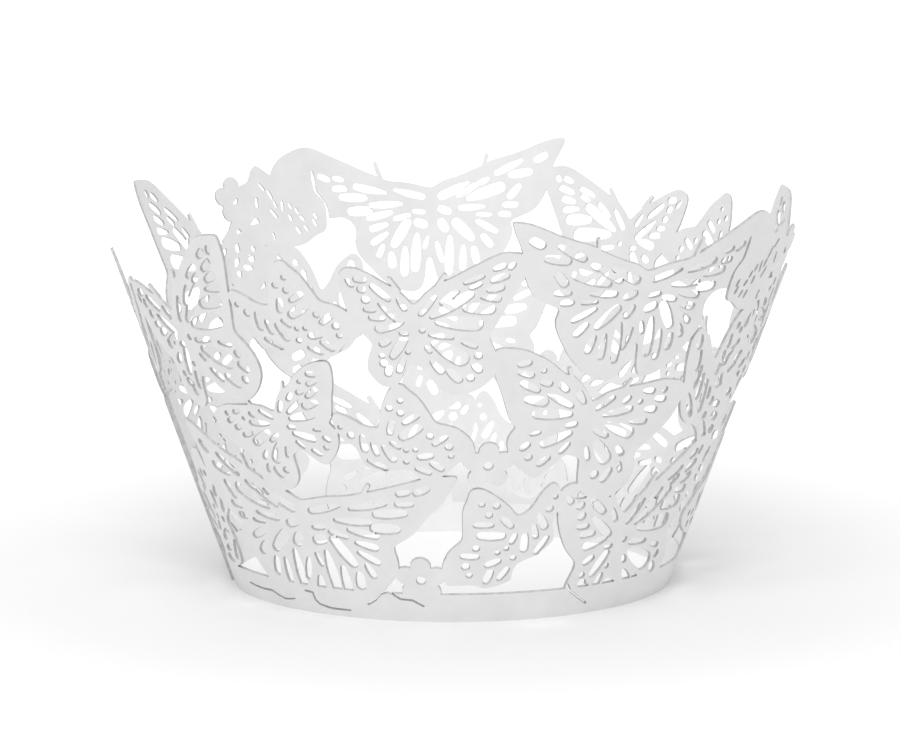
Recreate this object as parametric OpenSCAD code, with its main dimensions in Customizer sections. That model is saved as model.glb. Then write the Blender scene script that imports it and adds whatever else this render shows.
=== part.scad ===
// Cupcake wrapper: one strip of laser-cut card, bent into an open cone and glued to itself at one side.
// Butterflies and blossoms overlap at their wings to make the lace, which stands on a plain band.
// The origin is the centre of the foot, +Z is up, and the front of the wrapper faces -Y.

/* [Wrapper] */
// Outside diameter of the foot
foot_d = 50; // [44:1:58]
// Outside diameter at the height of the tallest wing tip
rim_d = 82.5; // [74:0.5:96]
// Height of the tallest wing tip above the foot
wall_h = 45.5; // [38:0.5:56]
// Thickness of the card
card_t = 0.3; // [0.2:0.05:0.6]
// Height of the plain band at the foot, measured up the slope
band_h = 3.5; // [2.5:0.5:5]

/* [Seam] */
// Direction of the seam round the wrapper, counted from the front
seam_turn = 270; // [264:1:276]
// Width of the lap where the two ends of the strip are glued
lap_w = 6; // [4:0.5:9]
// Height of the glued lap
lap_h = 22; // [10:1:30]

/* [Lace] */
// Turn from one butterfly to its next copy in the repeat
repeat_turn = 151.3; // [148:0.1:154]
// Smallest wing cell that is cut, in square millimetres
least_cell = 1.4; // [1:0.1:3]
// Flat facets round the wall
wall_facets = 36; // [28:4:48]

/* [Hidden] */

// The artworks below are drawn for a cone of this foot radius, rim radius and height.
// They follow the wall when the wrapper's sizes change.
drawn_for = [25, 41.25, 45.5];
sheet_slope = norm([drawn_for[1] - drawn_for[0], drawn_for[2]]);
sheet_sin = (drawn_for[1] - drawn_for[0]) / sheet_slope;
sheet_apex = drawn_for[0] / sheet_sin;

flare = (rim_d - foot_d) / 2;
slope_len = sqrt(pow(wall_h, 2) + pow(flare, 2));
wall_sin = flare / slope_len;
wall_cos = wall_h / slope_len;
wall_lean = asin(wall_sin);
stretch = slope_len / sheet_slope;
// The bare card is taller than the tallest wing tip by this factor, and the lace cuts it to shape
spare_height = 1.12;
blank_h = wall_h * spare_height;
blank_flare = wall_sin / wall_cos * blank_h;
facet_fit = 1 / cos(180 / wall_facets);
// A square slot end is a little smaller than the round one, so that the opening is as large
slot_end = 0.9;
// Every wing cell is cut wider than it is drawn by this, all round
cell_swell = 0.07;
// An outline's span longer than this gets one more point
long_span = 3.2;
petals = 5;
petal_sides = 8;
// How far the glued lap is pressed into the card in front of it
glue_bite = 0.03;
petal_r = 1.15;
petal_reach = 1.75;
blossom_eye_r = 0.5;

// Butterfly seen from above with its wings spread wide.
// An outline is a list of strokes: each is a smooth curve through its points, and corners lie between strokes.
broad_wings = [
    [[0.8, 3.1], [-0.8, 4.1], [-2.2, 4.5], [-5.2, 5.7]],
    [[-5.8, 5.3], [-6, 7.3]],
    [[-6.5, 6.4], [-10, 7.3], [-13.6, 8.6], [-16, 8.7]],
    [[-16, 8.7], [-15.3, 7.2], [-14.2, 5.2], [-13.3, 2.1]],
    [[-13.3, 2.1], [-12, 0.2], [-10.4, -0.6], [-8.8, -1.2]],
    [[-8.8, -1.2], [-9.1, -2.6], [-8.2, -4.6], [-6, -7.5], [-3.2, -9.5], [-1.2, -9.7], [-0.1, -8.8], [0.9, -5.4]],
    [[0.9, -5.4], [1.4, -5.6], [1.8, -8.4], [2.6, -9.6], [4.4, -9.6], [6.5, -8.6], [8.1, -7.1], [10.1, -4.8],
     [10.1, -2.1]]];
// Its last wing tip comes slender or full
slender_tip = [
    [[10.1, -2.1], [12.4, -1], [13.8, 0.4], [15.7, 1.8], [17.5, 3.7], [18.2, 4.9]],
    [[18.2, 4.9], [15.5, 5.3], [13, 5], [9.3, 4.4]],
    [[8.8, 4.9], [8.3, 4.2]],
    [[6.1, 3.9], [4.1, 3.8], [2.5, 3.5], [0.8, 3.1]]];
full_tip = [
    [[10.1, -2.1], [11, -1.1], [12.4, -0.9], [13.8, -1.1], [17.8, 0.2], [20.3, 1], [21.6, 2.4]],
    [[21.6, 2.4], [20.8, 4.9], [19.2, 6.4], [16.5, 7.5], [13.3, 6.6], [9.3, 5.1]],
    [[7.7, 6], [7, 4.6]],
    [[6.1, 3.9], [4.1, 3.8], [2.5, 3.5], [0.8, 3.1]]];
// A wing cell is a slot between two round ends: x, y and radius of one, then of the other
broad_cells = [
    [-13.2, 6.6, 0.4, -12.3, 6.2, 0.4], [-11.3, 4.7, 0.35, -9.1, 4.5, 0.4], [-10.3, 6.2, 0.15, -7.3, 4.8, 0.3],
    [-9.9, 3, 0.3, -8.9, 1.9, 0.4], [-7.6, 3, 0.6, -3.8, 1.8, 0.3], [-5.2, 3.7, 0.12, -2.5, 2.2, 0.3],
    [-3.7, 3.7, 0.1, -0.5, 2.1, 0.45], [-7, -2.4, 0.25, -4.8, -1.1, 0.2], [-4, -3.1, 0.4, -2.2, -1.2, 0.5],
    [-6.3, -4, 0.35, -5.5, -3, 0.3], [-4.6, -6, 0.35, -4.3, -4.5, 0.3], [-2.9, -6.8, 0.3, -3, -4.2, 0.15],
    [-1.2, -7.3, 0.35, -1.4, -3, 0.2], [1.9, 2, 0.3, 5.3, 2.8, 0.1], [6.4, 2.4, 0.1, 10.1, 3, 0.35],
    [9.1, 1.7, 0.35, 11.9, 1.6, 0.35], [4.5, 1.1, 0.15, 8.2, 0.8, 0.25], [8.6, 0.1, 0.45, 10.7, -0.1, 0.45],
    [5.8, 0, 0.2, 8.5, -0.8, 0.3], [3.8, -1.2, 0.45, 5.4, -3.9, 0.4], [6.3, -1.5, 0.15, 8.1, -2.1, 0.35],
    [6.3, -2.6, 0.15, 8, -3.8, 0.3], [2.6, -2.7, 0.2, 2.9, -6.8, 0.45], [4.1, -4.4, 0.2, 4.2, -7.4, 0.4],
    [5.8, -5.2, 0.3, 5.7, -6.4, 0.45], [1.8, -1.4, 0.45, 2.5, -1.2, 0.45]];

// Butterfly with its wings half raised
raised_outline = [
    [[-0.3, 3.2], [-1.1, 4.2], [-2.2, 5.3]],
    [[-2.5, 6.2], [-3.3, 5.8]],
    [[-3.3, 5.8], [-5, 6.8], [-6.9, 7.4], [-8.3, 6.5], [-8.1, 4.2], [-7.6, 2.4], [-6.6, 0.4], [-5.8, -0.6]],
    [[-5.8, -0.6], [-5, -1.4], [-5, -2], [-5.6, -4.5], [-4.6, -6.1], [-3.4, -6.7], [-2.2, -6.2], [-1.5, -4.7],
     [-0.8, -3.6]],
    [[-0.8, -3.6], [0.7, -4.5], [1.5, -5.8], [3.3, -7.5], [5.9, -7.1], [7.9, -5.5], [8.3, -3.2], [7.5, -0.7]],
    [[7.5, -0.7], [8.4, 0.7], [10.2, 3.8], [11.6, 6.2], [12.3, 8.4]],
    [[12.3, 8.4], [11, 8.8], [9.1, 9], [5.9, 7.6], [3.3, 6.2]],
    [[2.9, 6.5], [2.6, 6.1]],
    [[2.6, 6.1], [1.1, 4.85], [-0.3, 3.2]]];
raised_cells = [
    [-4.8, 1.6, 0.3, -3.7, 1.6, 0.25], [-4.6, 5.3, 0.25, -3, 3.9, 0.25], [-3.9, 3.3, 0.12, -1.8, 1.3, 0.35],
    [-4, 0.3, 0.45, -2, 0.9, 0.2], [-2.7, -2.9, 0.3, -1.5, -0.9, 0.35], [-2.1, -4.6, 0.25, -1.6, -3.2, 0.2],
    [0.4, 2.2, 0.2, 2, 4.3, 0.12], [2.7, 3.5, 0.2, 4.3, 4.9, 0.2], [5.2, 5.8, 0.15, 7, 6.5, 0.2],
    [8.1, 5.9, 0.25, 9.5, 6.3, 0.3], [7.7, 4.8, 0.25, 8.9, 5, 0.35], [6.9, 4, 0.1, 8.5, 3.7, 0.35],
    [5.3, 2.8, 0.4, 7.6, 2.6, 0.6], [1.6, 1.9, 0.2, 5.6, 4.4, 0.4], [2.3, 1.3, 0.35, 6.1, 0.9, 0.75],
    [1.4, -0.2, 0.2, 3.6, -0.6, 0.15], [1.8, -1.3, 0.35, 4.4, -3.1, 0.85], [3.2, -4.6, 0.3, 4.1, -5.6, 0.4],
    [5.9, -4, 0.33, 6.3, -4.6, 0.33], [1.4, -3.4, 0.15, 2.3, -4.6, 0.3]];

// Butterfly turned on its side, one pair of wings larger
turned_outline = [
    [[0.1, 3], [-0.9, 4.6], [-2.6, 6.4]],
    [[-3.1, 6.9], [-3.6, 6.5]],
    [[-3.6, 6.5], [-5.8, 8.2], [-8.6, 9.4], [-11.1, 9.5], [-12, 9], [-11.9, 7.6], [-11.3, 5.8], [-10.3, 3.8],
     [-9, 0.9], [-8.1, 0.1]],
    [[-8.1, 0.1], [-8.8, -0.9], [-8.8, -2.3], [-7.8, -4.2], [-5.8, -5.9], [-4.7, -6], [-2.8, -4.1], [-1.9, -3.2]],
    [[-1.9, -3.2], [-1.1, -3.6], [-0.3, -3.8]],
    [[-0.3, -3.8], [0.1, -7.1], [1.2, -8.6], [3, -9.3], [4.7, -9.1], [6.6, -8], [7.3, -6.5], [7, -4.1]],
    [[7, -4.1], [9.6, -2.4], [11.6, -0.8], [12.6, 1], [12.9, 2.6], [12.2, 3.6]],
    [[12.2, 3.6], [9.4, 4.4], [6.6, 4.4], [5.4, 4.4]],
    [[4.4, 4.8], [3.9, 4.4]],
    [[3.9, 4.4], [1.9, 4], [0.9, 3.4], [0.1, 3]]];
turned_cells = [
    [-8.8, 7.7, 0.35, -8.1, 7.9, 0.35], [-8.7, 6.7, 0.25, -7.5, 6.4, 0.3], [-8.2, 5.4, 0.3, -6.5, 4.6, 0.25],
    [-7.4, 3.5, 0.35, -5.6, 3.2, 0.5], [-6, 1.8, 0.55, -2.3, 1.6, 0.25], [-6, 5.6, 0.3, -5.3, 5.4, 0.3],
    [-4, 5.3, 0.25, -3.2, 4.6, 0.25], [-5.1, 4.1, 0.15, -2.3, 2.6, 0.2], [-1.7, 4.2, 0.3, -0.9, 3, 0.2],
    [-4.6, -1.8, 0.5, -2, -0.7, 0.3], [0.9, 2.1, 0.2, 2.6, 3.2, 0.25], [6.7, 3.5, 0.15, 7.9, 3.2, 0.3],
    [7.4, 1.1, 0.2, 8.6, 0.8, 0.35], [5.6, -0.1, 0.15, 7.5, -0.4, 0.3], [1.9, 1.2, 0.15, 5.1, 1.5, 0.35],
    [2.5, 0, 0.25, 5.6, -1.5, 0.6], [1, -0.5, 0.15, 2.6, -1.4, 0.25], [1.6, -2.2, 0.4, 3, -4.2, 0.7],
    [3.3, -6.8, 0.4, 3.8, -5.9, 0.4], [4.4, -3.1, 0.2, 5.1, -3.9, 0.3]];

// Butterfly seen from the side with its wings folded up
folded_outline = [
    [[-8.2, -0.7], [-8.4, 0.3], [-8, 1]],
    [[-8, 1], [-6.3, 0.6], [-4.7, -0.2], [-3.1, -0.3]],
    [[-3.1, -0.3], [-2.9, 1.8], [-1.9, 4.5], [-0.95, 5.3], [-0.3, 5.2], [0.25, 4.5]],
    [[0.25, 4.5], [1.4, 3.55], [3.1, 0.6]],
    [[3.1, 0.6], [4.7, 0.25], [5.7, -0.3], [6.9, -1.6], [7.3, -3.4]],
    [[7.3, -3.4], [5, -4.6], [4.1, -5.7], [2.7, -6.2], [1.3, -6.5]],
    [[1.3, -6.5], [0, -5.2], [-2.2, -5.5], [-4.2, -5.4], [-5, -4.9], [-5.8, -3], [-7.2, -2.3], [-8.2, -0.7]]];
folded_cells = [
    [-0.3, 0.5, 0.2, 1, 1.4, 0.25], [-0.5, -1.2, 0.4, 1.2, 0, 0.4], [-1.7, 0.4, 0.25, -1.9, -0.8, 0.25],
    [-4.95, -1.55, 0.2, -4.7, -3.1, 0.35], [-3.85, -2.3, 0.15, -3.4, -3.5, 0.25],
    [-2.6, -2.6, 0.2, -1.65, -4, 0.35], [-4.25, -4.45, 0.2, -2.45, -5.2, 0.2], [1.3, -3.6, 0.28, 2.4, -3.4, 0.28],
    [2.6, -4.3, 0.28, 3.5, -5, 0.28], [1, -5, 0.22, 2.2, -5.5, 0.22], [2.9, -1.9, 0.25, 4, -1.1, 0.25]];

// Butterfly perched with both pairs of wings up
perched_outline = [
    [[-3.8, 1.8], [-4.6, 4.5], [-4.8, 7.2], [-3.8, 8.4]],
    [[-3.8, 8.4], [-1.6, 7], [-0.2, 5], [1, 3.9]],
    [[1, 3.9], [1.8, 6.6], [3.2, 9], [5, 10.2]],
    [[5, 10.2], [7.4, 9.6], [8.6, 7], [8.4, 3.6], [7.8, 1]],
    [[7.8, 1], [9.8, -0.6], [10, -3], [8.2, -5.4], [5.6, -6.9], [3.1, -6.9]],
    [[3.1, -6.9], [2.2, -5.4], [0.9, -4.2], [-1.4, -3.4], [-2.8, -2], [-3.5, -0.4]]];
perched_cells = [
    [-3.4, 7, 0.35, -3.1, 6, 0.35], [-2.6, 5.2, 0.25, -2.2, 3.2, 0.25], [-1.5, 3.3, 0.2, -1.6, 1, 0.2],
    [-0.6, 2.2, 0.22, -0.4, -0.5, 0.22], [0.6, 1.2, 0.3, 1, -2.2, 0.3], [-2.3, 0, 0.22, -0.6, -2.6, 0.22],
    [3, 6.3, 0.25, 3, 5.2, 0.25], [4.3, 4.9, 0.3, 5.3, 5.3, 0.3], [2.5, 4.4, 0.3, 2.2, 2.2, 0.3],
    [3.3, 3.3, 0.5, 5.8, 4, 0.5], [3.6, 0.8, 0.7, 6.3, 1.8, 0.7], [2.8, -4.2, 0.25, 4.4, -6.2, 0.25],
    [5.4, -5.4, 0.4, 6, -5.6, 0.4], [6.5, 3, 0.5, 7.6, 5, 0.5], [7, -1, 0.5, 8.6, -2.4, 0.5],
    [5.8, 7.4, 0.4, 6.8, 8.4, 0.4], [4.4, -2, 0.3, 5.4, -2.4, 0.3], [4.8, -3.6, 0.4, 5.8, -4, 0.4]];

// Butterfly that leans to one side, with wings too finely pierced for open cells
leaning_outline = [
    [[-4.9, 4.6], [-5, 2.7], [-5.2, 1.7], [-5.9, 1], [-6.2, 0.2], [-6.2, -0.8], [-6, -2], [-5.7, -3.1]],
    [[-5.7, -3.1], [-4.1, -3.5], [-3.2, -4.1], [-1.5, -4.6], [0.5, -4.4]],
    [[0.5, -4.4], [3.2, -3.6], [6, -2.4], [7.6, 0], [7.2, 2.2], [4.8, 3.4], [2.4, 3.6]],
    [[2.4, 3.6], [0.6, 4.2], [-1.2, 5.6], [-3, 6.2], [-4.9, 4.6]]];

artworks = [
    [concat(broad_wings, slender_tip), broad_cells], [concat(broad_wings, full_tip), broad_cells],
    [raised_outline, raised_cells], [turned_outline, turned_cells], [folded_outline, folded_cells],
    [perched_outline, perched_cells], [leaning_outline, []]];
BROAD = 0;
FULL = 1;
RAISED = 2;
TURNED = 3;
FOLDED = 4;
PERCHED = 5;
LEANING = 6;

// One butterfly in each row: artwork, turn round the wrapper from the front, distance up the slope,
// rotation on the sheet, size, and -1 where it is mirrored
repeat_rows = [
    [FOLDED, -25.8, 38.3, 0, 1, 1], [RAISED, -5.4, 35.6, 0, 1, 1], [FULL, 31, 38.9, 0, 1, 1],
    [LEANING, 61, 40, 0, 1, 1], [TURNED, -33.7, 22.8, 11, 0.77, -1], [FOLDED, -8, 24.2, -1.5, 1, 1],
    [TURNED, 26.2, 23.7, 0, 1, 1], [PERCHED, 53.6, 25.9, 0, 1, 1], [PERCHED, 76.8, 30.2, 0, 1, -1],
    [BROAD, -34.9, 10.9, 0, 1.08, 1], [FOLDED, 8.7, 11.5, 33, 1.05, -1], [RAISED, 41.6, 8.4, 3, 1.15, 1],
    [FOLDED, 78, 10, 85, 1.15, 1]];
// Butterflies that stand outside the repeat
single_rows = [
    [RAISED, -52.2, 32.3, 18, 1.12, 1], [RAISED, 94, 32.3, 18, 1.12, 1], [RAISED, 231.7, 32.3, 18, 1.12, 1],
    [TURNED, 248, 19, 10, 1, 1], [FOLDED, 264, 27, 0, 1, 1], [RAISED, 257, 8.5, 5, 1.1, -1]];
// One blossom in each row: turn from the front and distance up the slope
blossom_rows = [[7.3, 19.5], [-6.9, 5.2], [70.3, 41.7]];

first_turn = seam_turn - 360;
// A copy nearer to an end of the strip than this is left out
start_margin = 12;
end_margin = 25;
rows = concat(
    [for (copy = [-1:1]) for (row = repeat_rows)
        if (inside_strip(row[1] + copy * repeat_turn))
            [row[0], row[1] + copy * repeat_turn, row[2], row[3], row[4], row[5]]],
    single_rows);
blossoms = [for (copy = [-1:1]) for (row = blossom_rows)
    if (inside_strip(row[0] + copy * repeat_turn)) [row[0] + copy * repeat_turn, row[1]]];

function inside_strip(turn) = turn >= first_turn + start_margin && turn < seam_turn - end_margin;

// The smooth curve through a stroke's points: a long span gets one more point, midway along the curve
function midway(a, b, c, d) = (9 * (b + c) - a - d) / 16;
function span(stroke, i) = norm(stroke[i + 1] - stroke[i]) < long_span
    ? [stroke[i]]
    : [stroke[i],
       midway(stroke[max(i - 1, 0)], stroke[i], stroke[i + 1], stroke[min(i + 2, len(stroke) - 1)])];
function smooth(stroke) = len(stroke) < 3 ? stroke : concat(
    [for (i = [0:len(stroke) - 2]) each span(stroke, i)], [stroke[len(stroke) - 1]]);
function outline_points(strokes) = [for (stroke = strokes) each smooth(stroke)];

function cell_area(c) = norm([c[3] - c[0], c[4] - c[1]]) * (c[2] + c[5]) + PI / 2 * (c[2] * c[2] + c[5] * c[5]);

// A point of an artwork on the flat sheet, with the row's size, mirror and rotation
function laid(p, row) = row[4] * [
    row[5] * p.x * cos(row[3]) - p.y * sin(row[3]),
    row[5] * p.x * sin(row[3]) + p.y * cos(row[3])];

// Foot radius, height and distance from the axis along the card's normal, at a distance up the slope
function wall_r(up) = foot_d / 2 + up * wall_sin;
function wall_z(up) = up * wall_cos;
function normal_len(up) = wall_r(up) / wall_cos;

// Where a point near a row's centre is seen from the wall's axis, on the plane that touches the wall there.
// The sheet is bent first, so a shape cut along these lines of sight has its true size in the card.
function sighted(p, up) =
    let (far = sheet_apex + up + p.y)
    let (turn = atan2(p.x, far) / sheet_sin)
    let (s = (norm([p.x, far]) - sheet_apex) * stretch)
    let (out = wall_r(s) * cos(turn))
    let (rise = wall_z(s) - axis_z(up * stretch))
    let (depth = wall_cos * out - wall_sin * rise)
    [wall_r(s) * sin(turn), wall_sin * out + wall_cos * rise] * normal_len(up * stretch) / depth;
function axis_z(up) = wall_z(up) + normal_len(up) * wall_sin;

// Cuts or keeps a flat shape, from near the axis out through the wall
module through_wall(turn, up) {
    reach = normal_len(up * stretch);
    translate([0, 0, axis_z(up * stretch)])
        rotate([90 + wall_lean, 0, turn])
            translate([0, 0, reach / 2])
                linear_extrude(height = reach, scale = 3) scale(0.5) children();
}

// A wing cell as a plain slot with square ends: its four corners on the artwork
function slot_corners(c) =
    let (gap = norm([c[3] - c[0], c[4] - c[1]]))
    let (along = gap > 0 ? [c[3] - c[0], c[4] - c[1]] / gap : [1, 0])
    let (across = [-along.y, along.x])
    let (first = slot_end * (c[2] + cell_swell))
    let (last = slot_end * (c[5] + cell_swell))
    [[c[0], c[1]] + first * (across - along), [c[0], c[1]] - first * (across + along),
     [c[3], c[4]] + last * (along - across), [c[3], c[4]] + last * (along + across)];

module wing_cell(cell, row) {
    polygon([for (p = slot_corners(cell)) sighted(laid(p, row), row[2])]);
}

module butterfly(row) {
    art = artworks[row[0]];
    difference() {
        polygon([for (p = outline_points(art[0])) sighted(laid(p, row), row[2])]);
        for (cell = art[1]) if (cell_area(cell) >= least_cell) wing_cell(cell, row);
    }
}

module blossom() {
    difference() {
        for (i = [0:petals - 1])
            hull() {
                circle(r = petal_r / 2, $fn = petal_sides);
                rotate(90 + i * 360 / petals) translate([petal_reach, 0]) circle(r = petal_r, $fn = petal_sides);
            }
        circle(r = blossom_eye_r, $fn = petal_sides);
    }
}

// The bare bent card, from the foot to above the tallest wing tip
module bent_card(outside_r) {
    foot_out = outside_r * facet_fit;
    top_out = (outside_r + blank_flare) * facet_fit;
    across = card_t / wall_cos;
    rotate_extrude($fn = wall_facets)
        polygon([[foot_out - across, 0], [foot_out, 0], [top_out, blank_h], [top_out - across, blank_h]]);
}

module plain_band() {
    cylinder(r = rim_d, h = band_h * wall_cos);
}

module lace() {
    for (row = rows) through_wall(row[1], row[2]) butterfly(row);
    for (spot = blossoms) through_wall(spot[0], spot[1]) blossom();
}

// The end of the strip that is glued inside, behind the other end
module lap() {
    intersection() {
        bent_card(foot_d / 2 - card_t / wall_cos + glue_bite);
        rotate([0, 0, seam_turn]) translate([0, -rim_d / 2, lap_h / 2]) cube([lap_w, rim_d, lap_h], center = true);
    }
}

module wrapper() {
    color("white") union() {
        intersection() {
            bent_card(foot_d / 2);
            union() {
                plain_band();
                lace();
            }
        }
        lap();
    }
}

wrapper();
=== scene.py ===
import math

import bpy
import numpy as np
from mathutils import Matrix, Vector
from mathutils.geometry import delaunay_2d_cdt


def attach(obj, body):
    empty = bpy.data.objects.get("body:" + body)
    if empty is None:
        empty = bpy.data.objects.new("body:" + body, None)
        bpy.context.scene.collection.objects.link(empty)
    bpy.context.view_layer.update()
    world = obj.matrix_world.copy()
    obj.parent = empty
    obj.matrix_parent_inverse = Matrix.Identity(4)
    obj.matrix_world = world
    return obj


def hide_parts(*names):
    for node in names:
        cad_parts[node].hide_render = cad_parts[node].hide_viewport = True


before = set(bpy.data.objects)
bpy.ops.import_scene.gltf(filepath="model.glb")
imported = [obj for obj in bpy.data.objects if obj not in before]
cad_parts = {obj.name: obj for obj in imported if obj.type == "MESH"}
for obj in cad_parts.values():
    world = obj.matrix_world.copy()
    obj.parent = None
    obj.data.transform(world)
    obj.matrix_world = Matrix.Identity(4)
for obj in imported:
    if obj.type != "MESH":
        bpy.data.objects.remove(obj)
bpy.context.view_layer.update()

MM = 0.001

# The wrapper's own sizes, in millimetres, as the solid has them
FOOT_R = 25
RIM_R = 41.25
WALL_H = 45.5
CARD = 0.3
BAND = 3.5
LAP_W = 6
LAP_H = 22
# The sheet is this many times as high as the wall, for the wing tips that stand above it
SPARE_HEIGHT = 1.12

# Turns round the wrapper, in degrees from the front
SEAM = 270
REPEAT = 151.3
COPIES = (-1, 0, 1)
# No repeated butterfly has its middle this close to the strip's first and last end
START_MARGIN = 12
END_MARGIN = 25
# The strip's first end is tucked behind its last one by just over the card's thickness.
# That fades out over the last 16 of the 26 degrees past the seam.
TUCK_END = 26
TUCK_FADE = 16
TUCK_ROOM = 1.04

SLOPE = math.hypot(WALL_H, RIM_R - FOOT_R)
SIN = (RIM_R - FOOT_R) / SLOPE
COS = WALL_H / SLOPE
APEX = FOOT_R / SIN

# How finely curves are drawn and the strip is bent, in millimetres
FINE_STEP = 0.1
STROKE_STEP = 0.2
CURVE_STEP = 0.38
SHEET_STEP = 1.25
ROUND_END_STEP = 0.2
SIDE_STEP = 0.55
# The sheet goes on past both ends by this many degrees before it is cut
SHEET_SPARE = 12
# A round hole has this many points for each millimetre of its radius
HOLE_POINTS = 26
# Points this close are one point, and slots this short are one round hole
SAME_POINT = 1e-4
ONE_HOLE = 0.02
# The cutter can't turn on the spot: corners of the outlines come out as round as this
CORNER_R = 0.33
# The rounding takes in this many fine steps on either side
CORNER_REACH = 12
# Wing cells are a little wider than their two ends say, and fullest halfway, as a leaf is
CELL_SWELL = 0.07
CELL_BELLY = 0.045
# The beam widens the cut on the face where it enters
KERF_TAPER = 0.07
# A point this low lies on the foot's edge, and the cut has no taper up to the second height
FOOT_EDGE = 0.01
FOOT_SQUARE = 0.1

# Butterfly seen from above with its wings spread wide.
# An outline is a list of strokes: each is a smooth curve, and corners lie between strokes.
WINGS = [
    [(0.8, 3.1), (-0.8, 4.1), (-2.2, 4.5), (-5.2, 5.7)],
    [(-6.5, 6.4), (-10, 7.3), (-13.6, 8.5), (-16, 8.65)],
    [(-16, 8.65), (-15.3, 7.2), (-14.2, 5.2), (-13.3, 2.1)],
    [(-13.3, 2.1), (-12, 0.2), (-10.4, -0.6), (-8.8, -1.2)],
    [(-8.8, -1.2), (-9.1, -2.6), (-8.2, -4.6), (-6, -7.5), (-3.2, -9.5), (-1.2, -9.7), (-0.1, -8.8),
     (0.9, -5.4)],
    [(0.9, -5.4), (1.4, -5.6), (1.8, -8.4), (2.6, -9.6), (4.4, -9.6), (6.5, -8.6), (8.1, -7.1),
     (10.1, -4.8), (10.1, -2.1)],
]
# Its last wing tip comes slender or full
SLENDER_TIP = [
    [(10.1, -2.1), (12.4, -1), (13.8, 0.4), (15.7, 1.8), (17.5, 3.7), (18.2, 4.9)],
    [(18.2, 4.9), (15.5, 5.3), (13, 5), (9.3, 4.4)],
    [(6.1, 3.9), (4.1, 3.8), (2.5, 3.5), (0.8, 3.1)],
]
FULL_TIP = [
    [(10.1, -2.1), (11, -1.1), (12.4, -0.9), (13.8, -1.1), (17.8, 0.2), (20.3, 1), (21.6, 2.4)],
    [(21.6, 2.4), (20.8, 4.9), (19.2, 6.4), (16.5, 7.5), (13.3, 6.6), (9.3, 5.1)],
    [(6.1, 3.9), (4.1, 3.8), (2.5, 3.5), (0.8, 3.1)],
]
# A bar is a slim leg of card between two round ends: x, y and radius of one, then of the other
BROAD_BARS = [(-5.5, 5, 0.3, -6.05, 7.1, 0.24), (8, 3.8, 0.28, 8.9, 5, 0.26)]
FULL_BARS = [(-5.5, 5, 0.3, -6.05, 7.1, 0.24), (7, 4, 0.3, 7.7, 6, 0.26)]
# A wing cell is a slot between two round ends, written the same way
BROAD_CELLS = [
    (-13.2, 6.6, 0.4, -12.3, 6.2, 0.4), (-11.3, 4.7, 0.35, -9.1, 4.5, 0.4),
    (-10.3, 6.2, 0.15, -7.3, 4.8, 0.3), (-9.9, 3, 0.3, -8.9, 1.9, 0.4),
    (-9.5, 0.75, 0.28, -8.2, 0.8, 0.28), (-8.6, -0.4, 0.28, -7.7, -0.3, 0.28),
    (-6.1, 4.1, 0.2, -5.3, 3.7, 0.3), (-7.6, 3, 0.6, -3.8, 1.8, 0.3),
    (-5.2, 3.7, 0.12, -2.5, 2.2, 0.3), (-3.7, 3.7, 0.1, -0.5, 2.1, 0.45),
    (-5.6, 0.7, 0.1, -2.8, 0.6, 0.3), (-6.4, -0.35, 0.12, -4.8, -0.25, 0.12),
    (-1.2, 0.2, 0.38, -0.4, 0.5, 0.38), (-0.8, -1.9, 0.45, -0.4, -1.2, 0.45),
    (-7, -2.4, 0.25, -4.8, -1.1, 0.2), (-4, -3.1, 0.4, -2.2, -1.2, 0.5),
    (-6.3, -4, 0.35, -5.5, -3, 0.3), (-4.6, -6, 0.35, -4.3, -4.5, 0.3),
    (-2.9, -6.8, 0.3, -3, -4.2, 0.15), (-1.2, -7.3, 0.35, -1.4, -3, 0.2),
    (-0.4, -5.9, 0.2, 0.2, -3.7, 0.15), (1.9, 2, 0.3, 5.3, 2.8, 0.1),
    (6.4, 2.4, 0.1, 10.1, 3, 0.35), (11.9, 3.8, 0.25, 12.8, 3.9, 0.25),
    (13.7, 3.7, 0.3, 14.7, 4, 0.3), (11.6, 2.7, 0.3, 12.8, 2.6, 0.3),
    (9.1, 1.7, 0.35, 11.9, 1.6, 0.35), (4.5, 1.1, 0.15, 8.2, 0.8, 0.25),
    (8.6, 0.1, 0.45, 10.7, -0.1, 0.45), (5.8, 0, 0.2, 8.5, -0.8, 0.3),
    (3.6, -0.3, 0.2, 5.3, -0.8, 0.2), (1.8, 0.1, 0.2, 2.9, 0.2, 0.2),
    (1.8, -1.4, 0.45, 2.5, -1.2, 0.45), (3.8, -1.2, 0.45, 5.4, -3.9, 0.4),
    (6.3, -1.5, 0.15, 8.1, -2.1, 0.35), (6.3, -2.6, 0.15, 8, -3.8, 0.3),
    (6.8, -4.1, 0.15, 7.3, -5.3, 0.3), (1.3, -3, 0.1, 1.7, -4.2, 0.2),
    (2.6, -2.7, 0.2, 2.9, -6.8, 0.45), (4.1, -4.4, 0.2, 4.2, -7.4, 0.4),
    (5.8, -5.2, 0.3, 5.7, -6.4, 0.45),
]
BROAD = (WINGS + SLENDER_TIP, BROAD_CELLS, BROAD_BARS)
# A slit parts the full tip from the butterfly that leans against it
SLIT_CELLS = [
    (15.75, 4.5, 0.06, 15.45, 2.6, 0.06), (15.45, 2.6, 0.06, 15.2, 1.9, 0.06),
    (15.2, 1.9, 0.06, 14.4, 1.1, 0.06), (14.4, 1.1, 0.06, 13.9, 0.2, 0.06),
    (13.9, 0.2, 0.06, 13.7, -1.6, 0.06),
]
FULL = (WINGS + FULL_TIP, BROAD_CELLS + SLIT_CELLS, FULL_BARS)

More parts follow.
